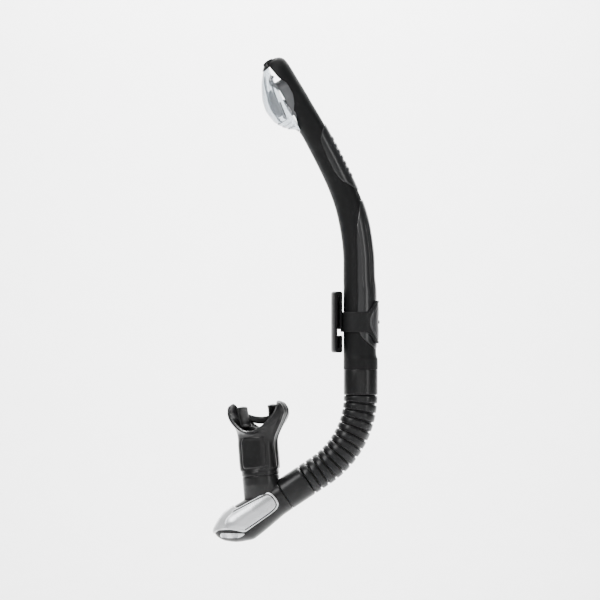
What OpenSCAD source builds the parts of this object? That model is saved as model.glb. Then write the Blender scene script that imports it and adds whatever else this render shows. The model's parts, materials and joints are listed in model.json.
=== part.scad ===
// Dry-top snorkel: curved barrel, float valve under a clear dome, strap keeper,
// corrugated drop-away hose, purge chamber with bright cover, and mouthpiece.
// Millimetres. X to the barrel's back, Z up, Y across. The origin is the middle
// of the keeper clip's strap slot.

/* [Barrel] */
// Outer radius of the barrel's foot, where the hose meets it
foot_r = 15.2; // [14:0.1:16]
// Wall of the barrel
wall = 1.8; // [1.4:0.1:2.4]
// Distance from the strap slot to the barrel's axis
slot_to_axis = 21.9; // [21:0.1:23]
// Lean of the head from the vertical
head_lean = 30; // [26:0.5:32]

/* [Hose] */
// Bend radius of the corrugated part
hose_bend_r = 80.4; // [76:0.2:86]
// Angle of the moulded bend
hose_bend = 56.4; // [50:0.2:62]
// Outer radius of the rings
ring_r = 14.9; // [14:0.1:15.5]
// Number of rings
rings = 13; // [10:1:15]
// Pitch of the rings
ring_pitch = 7.15; // [6.5:0.05:7.4]
// Width of one ring
ring_w = 5.5; // [5:0.1:6]

/* [Keeper] */
// Height of the band
band_h = 17.8; // [15:0.2:20]
// Height of the strap clip
clip_h = 54; // [50:1:60]
// Half angle the clip wraps around the barrel
clip_wrap = 33; // [28:1:36]

/* [Mouthpiece] */
// Turn of the mouthpiece about its own neck
mouth_yaw = 30; // [0:1:45]
// Half width of the lip flange
flange_w = 29.5; // [26:0.5:34]
// Rise of the two ends of the flange
flange_rise = 12.5; // [8:0.5:14]

/* [Drawing] */
// Which node to draw

/* [Hidden] */
$fn = 64;
around = 28;             // points around the lofted skins
closed = 180 * (1 - 1 / around);
ox = slot_to_axis - 18.3; // shift that puts the strap slot at the origin
axis_x = 19.1 + ox;      // barrel foot and hose axis
band_x = 18.3 + ox;      // barrel axis at the keeper
foot_z = -41.8;          // lower edge of the barrel's skin
head_x = -20.7 + ox;     // centre of the barrel where the head starts
head_z = 165.4;
bend_z = -64.2;          // where the hose starts to bend
bend_x = axis_x - hose_bend_r;
hose_tail = 41.7;        // straight run from the bend's end to the chamber
low_x = bend_x + hose_bend_r * cos(hose_bend) - hose_tail * sin(hose_bend);
low_z = bend_z - hose_bend_r * sin(hose_bend) - hose_tail * cos(hose_bend);
low_tilt = hose_bend - 180;
neck_x = -68.9 + ox;     // seam between chamber neck and mouthpiece
neck_z = -135;
neck_lean = 4.8;
pin_s = 58;              // float pivot in the head's own frame
pin_t = -10.7;
float_open = 8;          // how far the float hangs open, degrees
gap = 0.05;

module head_at() translate([head_x, 0, head_z]) rotate([0, -head_lean, 0]) children();
module low_at() translate([low_x, 0, low_z]) rotate([0, low_tilt, 0]) children();
module mouth_at()
  translate([neck_x, 0, neck_z]) rotate([0, -neck_lean, 0]) rotate([0, 0, -mouth_yaw]) children();

// ---- skins: a front grid and a back grid joined along their edges ----
// rows up to row k are closed rings, the rest are open at the last column
function quad(a, b, c, d) = [[a, b, c], [a, c, d]];
module skin(front, back, k) {
  nu = len(front);
  nv = len(front[0]);
  n = nu * nv;
  faces = concat(
    [for (i = [0:nu-2], j = [0:nv-2], f = quad(i*nv+j, i*nv+j+1, (i+1)*nv+j+1, (i+1)*nv+j)) f],
    [for (i = [0:nu-2], j = [0:nv-2], f = quad(n+i*nv+j, n+(i+1)*nv+j, n+(i+1)*nv+j+1, n+i*nv+j+1)) f],
    [for (i = [0:nu-2], f = i < k
      ? concat(quad(i*nv+nv-1, i*nv, (i+1)*nv, (i+1)*nv+nv-1),
               quad(n+i*nv+nv-1, n+(i+1)*nv+nv-1, n+(i+1)*nv, n+i*nv))
      : concat(quad(i*nv, (i+1)*nv, n+(i+1)*nv, n+i*nv),
               quad(i*nv+nv-1, n+i*nv+nv-1, n+(i+1)*nv+nv-1, (i+1)*nv+nv-1))) f],
    [for (j = [0:nv-2], f = quad(j, n+j, n+j+1, j+1)) f],
    [for (j = [0:nv-2], f = quad((nu-1)*nv+j, (nu-1)*nv+j+1, n+(nu-1)*nv+j+1, n+(nu-1)*nv+j)) f],
    k > 0 ? quad(nv-1, n+nv-1, n, 0) : [],
    k > 0 ? quad(k*nv+nv-1, k*nv, n+k*nv, n+k*nv+nv-1) : []);
  pts = concat([for (r = front, p = r) p], [for (r = back, p = r) p]);
  polyhedron(points = pts, faces = outward(pts, faces));
}

// a solid loft: rings of equal length, ends closed by fans
module loft(rows) {
  nu = len(rows);
  nv = len(rows[0]);
  n = nu * nv;
  mid0 = [for (c = [0:2]) let (v = [for (p = rows[0]) p[c]]) sum(v) / nv];
  mid1 = [for (c = [0:2]) let (v = [for (p = rows[nu-1]) p[c]]) sum(v) / nv];
  faces = concat(
    [for (i = [0:nu-2], j = [0:nv-1], f = quad(i*nv+j, i*nv+(j+1)%nv, (i+1)*nv+(j+1)%nv, (i+1)*nv+j)) f],
    [for (j = [0:nv-1]) [n, (j+1)%nv, j]],
    [for (j = [0:nv-1]) [n+1, (nu-1)*nv+j, (nu-1)*nv+(j+1)%nv]]);
  pts = concat([for (r = rows, p = r) p], [mid0, mid1]);
  polyhedron(points = pts, faces = outward(pts, faces));
}
function sum(v) = v * [for (x = v) 1];
// faces turned so that all of them look outwards
function outward(pts, faces) =
  sum([for (f = faces) cross(pts[f[1]], pts[f[2]]) * pts[f[0]]]) > 0
    ? [for (f = faces) [f[2], f[1], f[0]]] : faces;

// ---- barrel: x, z, lean, half width, half depth, half angle, wall, inner drop ----
function hs(s) = [head_x - s * sin(head_lean), head_z + s * cos(head_lean), head_lean];
barrel_rows = [
  [axis_x, -60, 0, 12.5, 12.5, closed, wall, 0],
  [axis_x, foot_z, 0, 12.5, 12.5, closed, wall, 0],
  [axis_x, foot_z + 0.3, 0, foot_r, foot_r, closed, foot_r - 10.7, 0],
  [axis_x, -33, 0, foot_r, foot_r, closed, 2.6, 0],
  [18.4 + ox, -27, 0, 14.4, 14.2, closed, wall, 0],
  [18.2 + ox, 24, 0, 14.2, 14.0, closed, wall, 0],
  [17.4 + ox, 40, 0, 13.6, 13.4, closed, wall, 0],
  [17.2 + ox, 54.6, 3, 13.4, 13.2, closed, wall, 0],
  [15.8 + ox, 70.4, 8, 13.1, 13.0, closed, wall, 0],
  [13.2 + ox, 86.2, 12.5, 12.9, 12.7, closed, wall, 0],
  [9.0 + ox, 102.1, 18, 12.3, 12.3, closed, wall, 0],
  [3.0 + ox, 117.9, 23.5, 11.7, 12.0, closed, wall, 0],
  [-4.4 + ox, 133.8, 26.5, 11.3, 11.8, closed, wall, 0],
  [-12.4 + ox, 149.6, 28.5, 11.2, 11.7, closed, wall, 0],
  concat(hs(0), [11.2, 11.8, closed, wall, 0]),
  concat(hs(7), [11.2, 12.2, closed, wall, 0]),
  concat(hs(10), [11.2, 12.5, 152, wall, 0]),
  concat(hs(18), [11.1, 13.2, 140, wall, 0]),
  concat(hs(26), [11.0, 13.9, 126, wall, 0]),
  concat(hs(34), [11.0, 14.4, 100, wall, 0]),
  concat(hs(43), [10.9, 14.7, 86, wall, 0]),
  concat(hs(51), [10.7, 14.7, 86, wall, 0]),
  concat(hs(58.6), [10.6, 14.0, 106, wall, 0]),
  concat(hs(65), [10.3, 12.6, 114, wall, 0.2]),
  concat(hs(70.5), [9.4, 10.2, 122, wall, 0.6]),
  concat(hs(74.2), [6.6, 7.0, 128, wall, 1.2]),
  concat(hs(76), [2.4, 2.6, 128, 1.4, 1.8])];
ring_close = 15;         // last row that is a full ring

function at_row(k) = let (i = floor(k), f = k - i)
  f == 0 ? barrel_rows[i] : (1 - f) * barrel_rows[i] + f * barrel_rows[i + 1];
function on_barrel(r, off, a) = let (t = (r[3] + off) * cos(a))
  [r[0] + t * cos(r[2]), (r[4] + off) * sin(a), r[1] + t * sin(r[2])];
function inner_row(r) = concat(
  [r[0] + r[7] * sin(r[2]), r[1] - r[7] * cos(r[2]), r[2]], [for (i = [3:7]) r[i]]);

// skin of the barrel from row k0 up, grown by g on both faces
module barrel_skin(g, k0, k1) {
  rows = [for (i = [k0:len(barrel_rows)-1]) barrel_rows[i]];
  skin([for (r = rows) [for (j = [0:around-1])
         on_barrel(r, g, (r[5] + (g > 0 && r[5] < closed ? 0.6 : 0)) * (2*j/(around-1) - 1))]],
       [for (r = rows) [for (j = [0:around-1])
         on_barrel(inner_row(r), -r[6] - g, (r[5] + (g > 0 && r[5] < closed ? 0.6 : 0)) * (2*j/(around-1) - 1))]],
       k1);
}
module barrel_tube() {
  color([0.05, 0.05, 0.055]) barrel_skin(0, 0, ring_close);
}

// strip laid on the barrel's back: [row, half angle] pairs, between two offsets
module back_strip(path, o0, o1, cols = 24) {
  skin([for (e = path) [for (j = [0:cols]) on_barrel(at_row(e[0]), o1, -e[1] + 2*e[1]*j/cols)]],
       [for (e = path) [for (j = [0:cols]) on_barrel(at_row(e[0]), o0, -e[1] + 2*e[1]*j/cols)]], 0);
}
upper_path = [[10.6, 18], [11, 52], [11.4, 80], [12, 90], [12.6, 91], [13, 88], [13.5, 82], [14, 52], [14.4, 12]];
module spine_upper() {
  color([0.09, 0.09, 0.10]) difference() {
    back_strip(upper_path, -0.4, 0.95);
    barrel_skin(gap, 0, ring_close);
  }
}
module spine_ribs() {
  color([0.16, 0.16, 0.17])
  for (i = [0:6])
    back_strip([[11.35 + i*0.32, 34], [11.35 + i*0.32 + 0.1, 36], [11.35 + i*0.32 + 0.2, 34]],
               0.95 + gap, 1.6, 8);
}
lower_path = [[4.1, 20], [4.2, 62], [4.32, 88], [4.6, 100], [5, 98], [6, 96], [7, 95], [8, 92], [8.5, 86],
              [9, 76], [9.6, 56], [10, 39], [10.1, 34]];
module spine_lower() {
  color([0.13, 0.13, 0.14]) difference() {
    back_strip(lower_path, -0.4, 0.9);
    barrel_skin(gap, 0, ring_close);
  }
}

// ---- head: dry-top valve, in a frame with z up the head and x to its back ----
carrier_mid = 36;
module valve_carrier() {
  ear_y = 8.6;
  color([0.45, 0.46, 0.48]) difference() {
   head_at() difference() {
    union() {
      translate([-8.2, 0, carrier_mid]) rotate([0, 90, 0]) rotate([0, 0, 90])
        linear_extrude(height = 9.6) stadium_long(12, 18);
      for (m = [-1, 1])
        translate([pin_t - 2.6, m * ear_y - 1, pin_s - 5]) cube([8, 2, 8]);
    }
    translate([-6.2, 0, carrier_mid]) rotate([0, 90, 0]) rotate([0, 0, 90])
      linear_extrude(height = 9) stadium_long(10, 18);
    translate([-9, 0, 32]) rotate([0, 90, 0]) cylinder(h = 4, r = 6.5);
    translate([pin_t, 20, pin_s]) rotate([90, 0, 0]) cylinder(h = 40, r = 1.2 + gap);
   }
   barrel_skin(2 * gap, 15, 0);
  }
}
// long shape whose length runs along the head
module stadium_long(r, l) {
  translate([0, -l/2]) circle(r);
  translate([0, l/2]) circle(r);
  square([2*r, l], center = true);
}
module valve_ring() {
  color([0.62, 0.63, 0.65]) head_at() translate([-9.7, 0, 32]) rotate([0, 90, 0]) difference() {
    cylinder(h = 1.45, r = 8.2);
    translate([0, 0, -1]) cylinder(h = 4, r = 6.5);
  }
}
dome_rows = [ // height, edge offset, bulge, half width
  [9.2, -10.6, 1.6, 4.5], [11.6, -9.6, 3.6, 8.4], [15, -9.2, 8.8, 11.4], [21, -9, 14, 13.2],
  [28, -9, 17.6, 14.2], [38.5, -9, 18.9, 14.8], [47, -8.8, 17.6, 14.9], [54, -8.3, 15.2, 14.6],
  [62, -7.6, 11.6, 13.4], [68, -6.8, 8, 11.4], [72.2, -6.2, 5, 8.8], [74.6, -5.8, 2.4, 5.4]];
function dome_grid(o) = [for (r = dome_rows) [for (j = [0:16]) let (a = -90 + 180*j/16)
  [r[1] - (r[2] + o) * cos(a), (r[3] + o) * sin(a), r[0]]]];
module dome_cap() {
  color([0.85, 0.88, 0.90, 0.4]) head_at() difference() {
    skin([for (r = dome_grid(0)) r],
         [for (r = dome_grid(-1.3)) r], 0);
    for (i = [0:2]) translate([-30, -5, 15.5 + i*4]) cube([14, 10, 1.6]);
  }
}
module dome_latch() {
  color([0.05, 0.05, 0.055]) head_at() skin(
    [for (e = [[-2.9, 77.3], [-6.4, 76.8], [-9, 75.9], [-11.4, 74.4]]) [for (y = [-4, -2, 0, 2, 4]) [e[0], y, e[1]]]],
    [for (e = [[-2.9, 76.4], [-6.1, 75.9], [-8.6, 75.1], [-10.9, 73.6]]) [for (y = [-4, -2, 0, 2, 4]) [e[0], y, e[1]]]], 0);
}
module float_pin() {
  color([0.75, 0.75, 0.77]) head_at() translate([pin_t, 10.6, pin_s]) rotate([90, 0, 0]) cylinder(h = 21.2, r = 1.2);
}
// the float's pieces are placed as when shut, then hung open about the pin
module hung() head_at()
  translate([pin_t, 0, pin_s]) rotate([0, float_open, 0]) translate([-pin_t, 0, -pin_s]) children();
// swinging lever with its two knuckles
module float_arm() {
  color([0.9, 0.91, 0.92]) hung() difference() {
    union() {
      translate([pin_t, 7, pin_s]) rotate([90, 0, 0]) cylinder(h = 14, r = 2.6);
      translate([-12.9, -6, 26]) cube([1.6, 12, 33]);
    }
    translate([pin_t, 20, pin_s]) rotate([90, 0, 0]) cylinder(h = 40, r = 1.2 + gap);
  }
}
module float_block() {
  color([0.93, 0.94, 0.95]) hung() intersection() {
    translate([-20.3, -7.4, 27]) cube([7.35, 14.8, 26]);
    translate([-7.6, 30, 40]) rotate([90, 0, 0]) cylinder(h = 60, r = 13.6);
  }
}
module float_seal() {
  color([0.12, 0.12, 0.13]) hung() translate([-11.25, 0, 32]) rotate([0, 90, 0]) cylinder(h = 1.5, r = 8.0);
}

// ---- keeper ----
module wing_outline() {
  polygon([[0, band_h/2], [7.6, band_h/2], [11, 12.4], [13.4, 17.2], [15.2, 18.9], [20, 18.9],
           [20, -18.9], [15.2, -18.9], [13.4, -17.2], [11, -12.4], [7.6, -band_h/2], [0, -band_h/2]]);
}
module oval_cut(g) {
  translate([band_x + 2, 0, 0]) rotate([0, 90, 0]) scale([1, 0.86, 1]) cylinder(h = 30, r = 16.6 + g);
}
module keeper_band() {
  color([0.06, 0.06, 0.065]) difference() {
    union() {
      translate([band_x, 0, -band_h/2]) cylinder(h = band_h, r = 16.8);
      intersection() {
        translate([band_x, 0, -20]) cylinder(h = 40, r = 17.1);
        translate([band_x, 20, 0]) rotate([90, 0, 0]) linear_extrude(height = 40) wing_outline();
      }
    }
    translate([band_x + 0.25, 0, -30]) cylinder(h = 60, r = 15.4);
    oval_cut(0);
    translate([0, 0, 0]) rotate([0, 90, 0]) cylinder(h = 8, r = 2.4);
  }
}
module keeper_insert() {
  color([0.22, 0.22, 0.23]) difference() {
    intersection() {
      translate([band_x, 0, -20]) cylinder(h = 40, r = 16.95);
      oval_cut(-gap);
    }
    translate([band_x + 0.25, 0, -30]) cylinder(h = 60, r = 15.4);
    translate([band_x + 15, 0, 0]) rotate([0, 90, 0]) cylinder(h = 4, r = 1.6);
  }
}
module keeper_rivet() {
  color([0.03, 0.03, 0.03]) translate([band_x + 15.5, 0, 0]) rotate([0, 90, 0]) cylinder(h = 1.9, r = 1.6);
}
// pin that carries the clip: its foot sits in the band, its head in the clip
module clip_pin() {
  color([0.06, 0.06, 0.065]) {
    translate([band_x - 20.5, 0, 0]) rotate([0, 90, 0]) cylinder(h = 3.65, r = 3.0);
    translate([band_x - 16.9, 0, 0]) rotate([0, 90, 0]) cylinder(h = 1.4, r = 2.35);
  }
}
// strap clip section, drawn as distance from the barrel's axis and height
module clip_section() {
  half = clip_h / 2;
  difference() {
    translate([18.0, -half]) square([7.3, clip_h]);
    translate([20.6, -half + 4]) square([2.6, clip_h - 8]);
    translate([17, -half + 15.2]) square([4, 5.4]);
    translate([24.6, half - 0.7]) square([2, 2]);
    translate([24.6, -half - 1.3]) square([2, 2]);
  }
}
module strap_clip() {
  color([0.03, 0.03, 0.035]) difference() {
    translate([band_x, 0, 0]) rotate([0, 0, 180 - clip_wrap])
      rotate_extrude(angle = 2 * clip_wrap) clip_section();
    translate([band_x - 21, 0, 0]) rotate([0, 90, 0]) cylinder(h = 6, r = 3.0 + gap);
  }
}

// ---- corrugated hose: rows of [distance along the hose, outer radius, inner radius] ----
bend_len = hose_bend_r * hose_bend * PI / 180;
hose_n = 22;             // points around the hose
groove_r = 13.1;
bore_r = 11.3;
cuff_r = (12.5 + gap) / cos(180 / hose_n);
function hose_mid(d) = d <= 0 ? [axis_x, bend_z - d, 0] :
  d < bend_len ? let (a = d / hose_bend_r * 180 / PI)
    [bend_x + hose_bend_r * cos(a), bend_z - hose_bend_r * sin(a), a] :
  [bend_x + hose_bend_r * cos(hose_bend) - (d - bend_len) * sin(hose_bend),
   bend_z - hose_bend_r * sin(hose_bend) - (d - bend_len) * cos(hose_bend), hose_bend];
function hose_loop(d, r) = let (m = hose_mid(d))
  [for (j = [0:hose_n-1]) let (a = 360*j/hose_n)
    [m[0] + r * cos(a) * cos(m[2]), r * sin(a), m[1] - r * cos(a) * sin(m[2])]];
hose_end = bend_len + hose_tail - 4.2;
hose_rows = concat(
  [[bend_z - foot_z + gap*4, 15, cuff_r], [-3.8, 15, cuff_r], [-3.6, 15, bore_r], [-0.1, 15, bore_r],
   [0.1, groove_r, bore_r]],
  [for (i = [0:rings-1]) let (mid = (i + 0.5) * ring_pitch, h = ring_w/2, r = ring_r - 0.04*i)
    for (e = [[-h - 0.2, groove_r], [-h, r], [h, r], [h + 0.2, groove_r]]) [mid + e[0], e[1], bore_r]],
  [[rings * ring_pitch, groove_r, bore_r], [rings * ring_pitch + 0.2, 14.3, bore_r],
   [hose_end - 20.2, 14.3, bore_r], [hose_end - 20, 14.3, cuff_r], [hose_end, 14.3, cuff_r]]);
module flex_hose() {
  color([0.05, 0.05, 0.055])
    skin([for (r = hose_rows) hose_loop(r[0], r[1])], [for (r = hose_rows) hose_loop(r[0], r[2])],
         len(hose_rows) - 1);
}

// ---- lower unit: frame with z towards the nose, x up ----
low_rows = [ // along, lower edge, upper edge, half depth
  [-4, -14.3, 14.3, 14.3], [4, -14.4, 14.6, 14.5], [15, -15.6, 15.4, 15.5], [28, -17.1, 15.8, 16.4],
  [38.5, -17.8, 16.2, 16.4], [47, -14.9, 15.8, 15.4], [54, -11, 14.0, 13.2], [59, -6.2, 11.4, 10.2],
  [62.5, -1.2, 9.2, 6.6], [64.2, 3.2, 7.2, 2.6]];
function low_ring(r, o, n = 26) = [for (j = [0:n-1]) let (a = 360*j/n, s = (r[2] - r[1])/2 + o)
  [(r[1] + r[2])/2 + s * cos(a), (r[3] + o) * sin(a), r[0]]];
function low_grow(o) = [for (i = [0:len(low_rows)-1]) let (r = low_rows[i])
  low_ring([r[0] + (i == len(low_rows)-1 ? o : i == 0 ? 0 : 0), r[1], r[2], r[3]], o)];
module low_body(o) loft(low_grow(o));
// neck under the mouthpiece: round at the seam, narrowing sideways into the chamber
module neck_post(g) {
  translate([neck_x, 0, neck_z]) rotate([0, -neck_lean, 0]) hull() {
    translate([0, 0, -8]) cylinder(h = 8, r = 16.3 + g);
    translate([0, 0, -26]) scale([1, 0.62, 1]) cylinder(h = 1, r = 16.3 + g);
  }
}
module purge_chamber() {
  color([0.055, 0.055, 0.06]) difference() {
    union() {
      low_at() low_body(0);
      low_at() translate([0, 0, -24]) cylinder(h = 24, r = 12.5);
      difference() {
        neck_post(0);
        low_at() translate([0, 0, -40]) cylinder(h = 36, r = 14.5);
      }
      translate([neck_x, 0, neck_z]) rotate([0, -neck_lean, 0]) cylinder(h = 14, r = 13.2);
    }
    low_at() loft([for (i = [0:7]) let (r = low_rows[i])
      low_ring([i == 0 ? -3 : i == 7 ? r[0] + 0.6 : r[0], r[1], r[2], r[3]], -2)]);
    low_at() translate([0, 0, -25]) cylinder(h = 30, r = 10.8);
    translate([neck_x, 0, neck_z]) rotate([0, -neck_lean, 0]) translate([0, 0, -22]) cylinder(h = 40, r = 11.2);
    for (i = [0:3]) low_at() translate([-19, -6 + i*4 - 1, 49]) cube([16, 2, 7]);
  }
}
// outline of the bright cover seen from the side: [up, along]
cover_pts = [[-3.5, 4.2], [2, 3.6], [7, 4.6], [9.8, 7.2], [11.2, 20], [12.4, 34], [13.4, 37.4], [18.5, 38.8],
             [22, 50], [16, 68], [5.2, 70], [5.2, 62.4], [-0.4, 54], [-6.6, 46], [-8.2, 42], [-7.9, 28], [-7.4, 14],
             [-6.4, 8]];
panel_pts = [[-2.6, 7.2], [2, 6.6], [5.8, 7.6], [7.6, 9.8], [8.9, 20], [10.2, 34], [11, 42], [9.6, 50], [5, 56],
             [1.5, 53], [-4.2, 45.6], [-5.8, 41], [-5.7, 28], [-5.2, 15], [-4.4, 10]];
module low_prism(pts, y0, y1) {
  translate([0, y1, 0]) rotate([90, 0, 0]) linear_extrude(height = y1 - y0) polygon(pts);
}
module purge_cover() {
  color([0.75, 0.76, 0.78]) difference() {
    low_at() difference() {
      intersection() {
        low_body(1.7);
        low_prism(cover_pts, -30, 30);
      }
      low_body(gap);
      low_prism(panel_pts, 4, 30);
      low_prism(panel_pts, -30, -4);
    }
    neck_post(2 * gap);
  }
}
// satin panel let into the cover, between two distances from the middle
module side_panel(y0, y1) {
  color([0.82, 0.83, 0.85]) difference() {
    low_at() difference() {
      intersection() {
        low_body(1.3);
        low_prism([for (p = panel_pts) 0.97*p + [0.06, 0.9]], y0, y1);
      }
      low_body(gap);
    }
    neck_post(2 * gap);
  }
}
module panel_near() side_panel(-30, -4.2);
module panel_far() side_panel(4.2, 30);
grille_pts = [[-13.5, 48], [-9.5, 48], [-2.5, 55.5], [1.2, 60.5], [-0.6, 63], [-6, 61], [-12, 55]];
module vent_grille() {
  color([0.7, 0.71, 0.73]) low_at() difference() {
    intersection() {
      low_body(1.0);
      low_prism(grille_pts, -30, 30);
    }
    low_body(gap);
    for (i = [0:3]) translate([-25, -6 + i*4 - 1, 47]) cube([22, 2, 9.5]);
  }
}
module purge_spider() {
  color([0.12, 0.12, 0.13]) low_at() difference() {
    intersection() {
      low_body(-2 - gap);
      translate([-30, -30, 40]) cube([60, 60, 2]);
    }
    for (k = [0:3]) translate([-0.8, 0, 39]) rotate([0, 0, 45 + 90*k]) translate([6.2, 0, 0]) cylinder(h = 4, r = 3.6);
    translate([-0.8, 0, 39]) cylinder(h = 4, r = 1.2 + gap);
  }
}
module purge_valve() {
  color([0.3, 0.3, 0.31]) low_at() translate([-0.8, 0, 42.05]) {
    cylinder(h = 0.9, r = 11.4);
    translate([0, 0, -3.6]) cylinder(h = 3.7, r = 1.2);
    translate([0, 0, -4.4]) cylinder(h = 0.8, r = 2.0);
  }
}

// ---- mouthpiece: height, half width, half depth, rise, squareness ----
mouth_rows = [
  [0.1, 16.5, 16.2, 0, 2], [3.4, 16.5, 16.2, 0, 2], [6, 17.2, 14.8, 0, 2.6], [14, 17.3, 14.2, 0, 2.8],
  [24, 17.2, 14, 0, 2.8], [31, 17.8, 14, 0.4, 2.5], [37.5, 20.8, 14.6, 2.8, 2.2], [43, 25.4, 16.4, 6, 2],
  [47.4, flange_w - 0.6, 18.6, 9.4, 2], [51.4, flange_w, 20, flange_rise, 2]];
function se(c, n) = sign(c) * pow(abs(c), 2 / n);
function mouth_ring(r, o, dh) = [for (j = [0:31]) let (a = 360*j/32 + 1)
  [(r[1] + o) * se(cos(a), r[4]), (r[2] + o) * se(sin(a), r[4]), r[0] + dh + r[3] * cos(2*a)]];
module mouthpiece() {
  color([0.04, 0.04, 0.042]) mouth_at() union() {
    skin([for (r = mouth_rows) mouth_ring(r, 0, 0)],
         [for (i = [0:len(mouth_rows)-1]) let (r = mouth_rows[i])
           mouth_ring(i < 4 ? [r[0], 13.2 + gap, 13.2 + gap, 0, 2] : r, i < 4 ? 0 : -2.3, i > 6 ? 1.6 : 0)],
         len(mouth_rows) - 1);
    for (m = [-1, 1])
      translate([m * 17 - 1.6, -7.5, 44]) rotate([0, m * 12, 0]) cube([3.2, 15, 17]);
    translate([0, 0, 48]) difference() {
      cylinder(h = 9, r = 18.4);
      translate([0, 0, -1]) cylinder(h = 20, r = 15.8);
      translate([-30, -60, -1]) cube([60, 65, 20]);
    }
  }
}

barrel_tube();
spine_upper();
spine_ribs();
spine_lower();
valve_carrier();
valve_ring();
dome_cap();
dome_latch();
float_pin();
float_arm();
float_block();
float_seal();
keeper_band();
keeper_insert();
keeper_rivet();
clip_pin();
strap_clip();
flex_hose();
purge_chamber();
mouthpiece();
purge_cover();
panel_near();
panel_far();
vent_grille();
purge_spider();
purge_valve();
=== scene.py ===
"""Dry-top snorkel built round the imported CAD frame. Shapes are worked out in millimetres."""

import json
import math

import bmesh
import bpy
import numpy as np
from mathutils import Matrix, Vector

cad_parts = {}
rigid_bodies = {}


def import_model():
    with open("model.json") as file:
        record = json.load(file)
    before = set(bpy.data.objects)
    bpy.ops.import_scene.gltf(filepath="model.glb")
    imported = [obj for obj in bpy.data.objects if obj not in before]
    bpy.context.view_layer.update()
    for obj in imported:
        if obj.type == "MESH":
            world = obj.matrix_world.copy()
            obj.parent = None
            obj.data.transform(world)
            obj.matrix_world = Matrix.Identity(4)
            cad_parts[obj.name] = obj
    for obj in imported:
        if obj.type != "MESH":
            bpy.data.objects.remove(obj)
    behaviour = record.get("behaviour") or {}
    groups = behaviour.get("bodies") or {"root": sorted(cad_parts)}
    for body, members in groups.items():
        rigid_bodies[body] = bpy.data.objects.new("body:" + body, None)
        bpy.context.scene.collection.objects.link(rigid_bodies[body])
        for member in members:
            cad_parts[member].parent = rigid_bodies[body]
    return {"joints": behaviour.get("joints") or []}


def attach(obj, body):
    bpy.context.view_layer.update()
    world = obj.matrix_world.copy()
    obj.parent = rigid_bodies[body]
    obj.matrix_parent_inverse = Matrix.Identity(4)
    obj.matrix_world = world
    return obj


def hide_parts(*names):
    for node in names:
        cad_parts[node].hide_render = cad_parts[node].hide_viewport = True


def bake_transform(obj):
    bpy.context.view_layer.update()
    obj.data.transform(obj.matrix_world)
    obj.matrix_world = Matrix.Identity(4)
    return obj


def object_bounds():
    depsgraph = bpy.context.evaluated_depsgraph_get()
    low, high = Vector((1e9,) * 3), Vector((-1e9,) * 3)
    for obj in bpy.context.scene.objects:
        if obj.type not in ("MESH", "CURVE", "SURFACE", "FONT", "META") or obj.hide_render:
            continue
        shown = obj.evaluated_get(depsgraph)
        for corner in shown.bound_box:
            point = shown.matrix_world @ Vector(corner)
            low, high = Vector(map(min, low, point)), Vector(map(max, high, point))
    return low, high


MM = 0.001
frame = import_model()
cad_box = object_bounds()
joints = {j["name"]: j for j in frame["joints"]}

# ---- places, mm
AXIS_X = joints["hose_swivel"]["pos_m"][0] / MM  # axis of the barrel's foot and of the hose
OX = AXIS_X - 19.1  # the tables below are drawn with that axis at x = 19.1
BAND_X = 18.3 + OX  # barrel axis at the keeper
HEAD = np.array([-20.7 + OX, 0, 165.4])  # foot of the hood
LEAN = math.radians(30)  # of the head
BEND_R = 80.4  # middle line of the hose's bend
BEND = math.radians(56.4)
BEND_Z = -64.2  # where the bend starts
BEND_X = AXIS_X - BEND_R
TAIL = 41.7  # straight run from the bend to the chamber
LOW_Z = np.array([-math.sin(BEND), 0, -math.cos(BEND)])  # chamber frame: towards the nose
LOW_X = np.array([-math.cos(BEND), 0, math.sin(BEND)])  # chamber frame: up, square to LOW_Z
ACROSS = np.array([0, 1, 0])
LOW = np.array([BEND_X + BEND_R * math.cos(BEND), 0, BEND_Z - BEND_R * math.sin(BEND)]) + TAIL * LOW_Z
NECK = np.array([-68.9 + OX, 0, -135.0])  # seam between the chamber's neck and the mouthpiece
NECK_LEAN = math.radians(4.8)
NECK_UP = np.array([-math.sin(NECK_LEAN), 0, math.cos(NECK_LEAN)])
NECK_X = np.array([math.cos(NECK_LEAN), 0, math.sin(NECK_LEAN)])
YAW = math.radians(30)  # turn of the mouthpiece about its neck
PIN_S, PIN_T = 58.0, -10.7  # float pin in the head frame
FLOAT_OPEN = math.radians(8)
SIDES = (("l", -1), ("r", 1))


# ---- numbers
def pchip(xs, ys, x):
    """Monotone cubic through a table, one curve per column of ys."""
    xs, ys, x = np.asarray(xs, float), np.asarray(ys, float), np.asarray(x, float)
    if ys.ndim == 1:
        return pchip(xs, ys[:, None], x)[:, 0]
    h = np.diff(xs)[:, None]
    d = np.diff(ys, axis=0) / h
    m = np.zeros_like(ys)
    m[0], m[-1] = d[0], d[-1]
    same = d[:-1] * d[1:] > 0
    w1, w2 = 2 * h[1:] + h[:-1], h[1:] + 2 * h[:-1]
    with np.errstate(divide="ignore", invalid="ignore"):
        mean = (w1 + w2) / (w1 / d[:-1] + w2 / d[1:])
    m[1:-1] = np.where(same, mean, 0)
    i = np.clip(np.searchsorted(xs, x) - 1, 0, len(xs) - 2)
    t = ((x - xs[i]) / (xs[i + 1] - xs[i]))[:, None]
    return hermite(t, ys[i], ys[i + 1], h[i] * m[i], h[i] * m[i + 1])


def hermite(t, a, b, slope_a, slope_b):
    """Cubic from a to b with the given end slopes, at t from 0 to 1."""
    return (
        (2 * t**3 - 3 * t**2 + 1) * a
        + (t**3 - 2 * t**2 + t) * slope_a
        + (-2 * t**3 + 3 * t**2) * b
        + (t**3 - t**2) * slope_b
    )


def smooth(a, b, x):
    """Smooth step from 0 at a to 1 at b."""
    t = np.clip((np.asarray(x, float) - a) / (b - a), 0, 1)
    return t * t * (3 - 2 * t)


def bell(x, centre, width):
    return np.exp(-(((x - centre) / width) ** 2))


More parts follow.
